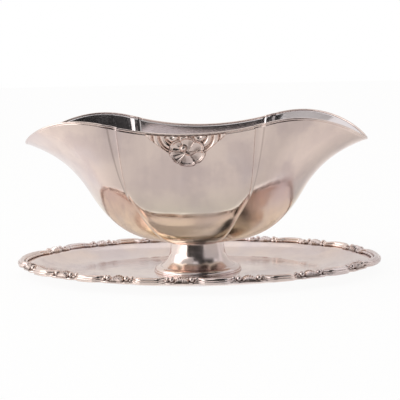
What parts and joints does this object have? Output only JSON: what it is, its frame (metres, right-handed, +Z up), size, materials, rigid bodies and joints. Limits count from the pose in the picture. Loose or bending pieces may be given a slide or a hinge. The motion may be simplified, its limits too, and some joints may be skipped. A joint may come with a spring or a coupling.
{
  "type": "sauce boat on stand",
  "caption": "Silver sauce boat with a spout at each end, fluted corners and a flower mount, fixed on an oval stand with an applied floral border.",
  "frame": {"origin": "on the table under the middle of the stand", "axes": "+X along the spouts, +Y across, +Z up"},
  "size_m": [0.232, 0.1638, 0.1008],
  "materials": {
    "polished_silver": "polished, with fine wear and a warm haze",
    "cast_silver": "cast and polished, darker in the hollows",
    "plain_steel": "plain"
  },
  "bodies": {
    "root": {"bowl": "polished_silver", "bowl_rim_wire": "polished_silver", "pedestal": "polished_silver", "pedestal_foot_ring": "polished_silver", "tray": "polished_silver", "front_flower_mount": "cast_silver", "back_flower_mount": "cast_silver", "border_scroll_01": "cast_silver", "border_scroll_02": "cast_silver", "border_scroll_03": "cast_silver", "border_scroll_04": "cast_silver", "border_scroll_05": "cast_silver", "border_scroll_06": "cast_silver", "border_scroll_07": "cast_silver", "border_scroll_08": "cast_silver", "border_scroll_09": "cast_silver", "border_scroll_10": "cast_silver", "border_scroll_11": "cast_silver", "border_scroll_12": "cast_silver", "border_scroll_13": "cast_silver", "border_scroll_14": "cast_silver", "border_flower_01": "cast_silver", "border_flower_02": "cast_silver", "border_flower_03": "cast_silver", "border_flower_04": "cast_silver", "border_flower_05": "cast_silver", "border_flower_06": "cast_silver", "border_flower_07": "cast_silver", "border_flower_08": "cast_silver", "border_flower_09": "cast_silver", "border_flower_10": "cast_silver", "border_flower_11": "cast_silver", "border_flower_12": "cast_silver", "border_flower_13": "cast_silver", "border_flower_14": "cast_silver", "fixing_stud": "plain_steel", "fixing_washer": "plain_steel", "fixing_nut": "plain_steel"}
  },
  "joints": []
}
